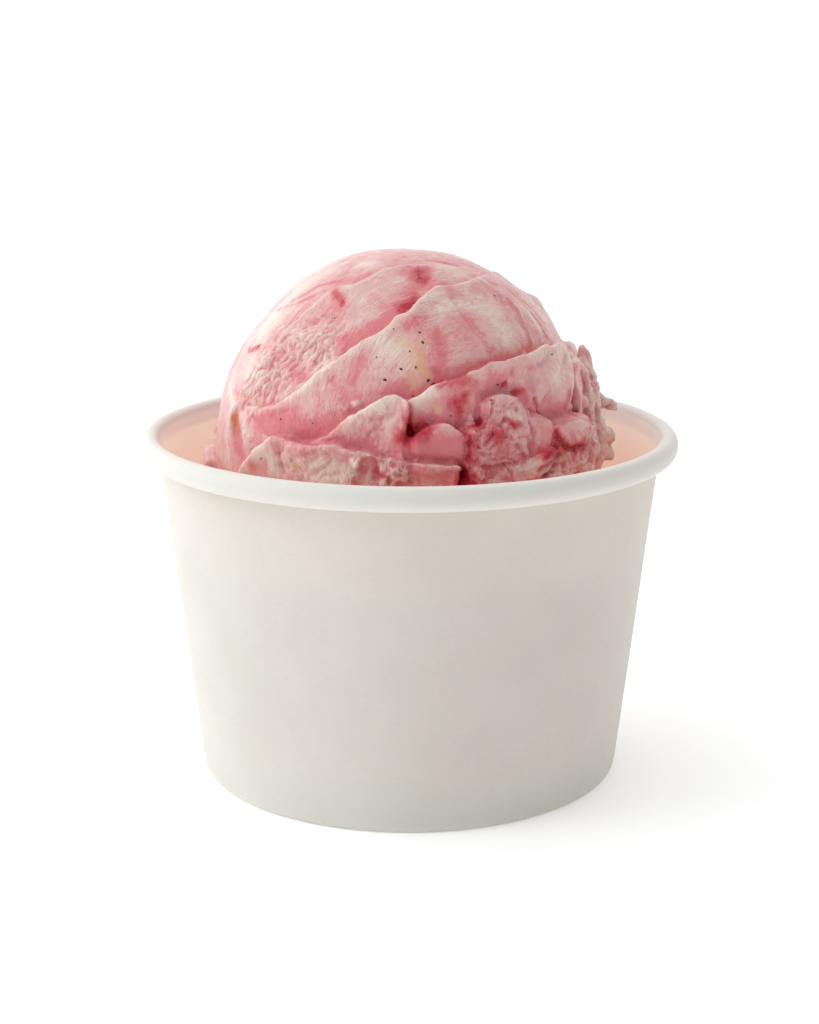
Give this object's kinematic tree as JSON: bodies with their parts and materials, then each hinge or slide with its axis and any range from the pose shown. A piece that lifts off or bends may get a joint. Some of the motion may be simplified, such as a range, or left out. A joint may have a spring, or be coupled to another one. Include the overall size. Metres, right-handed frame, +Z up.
{
  "type": "ice cream cup",
  "caption": "Squat paper ice cream cup with a rolled rim, holding a folded ball of berry ripple ice cream.",
  "frame": {"origin": "middle of the cup's foot, on the surface that it stands on", "axes": "+Z up along the cup's axis; -Y towards the side that shows the main folds of the ball"},
  "size_m": [0.096, 0.096, 0.0941],
  "materials": {
    "paper": "matte white coated board",
    "ice_cream": "soft frozen cream with pink and dark red ripple, faintly wet"
  },
  "bodies": {
    "root": {"cup_wall": "paper", "cup_base": "paper", "ice_cream": "ice_cream"}
  },
  "joints": []
}
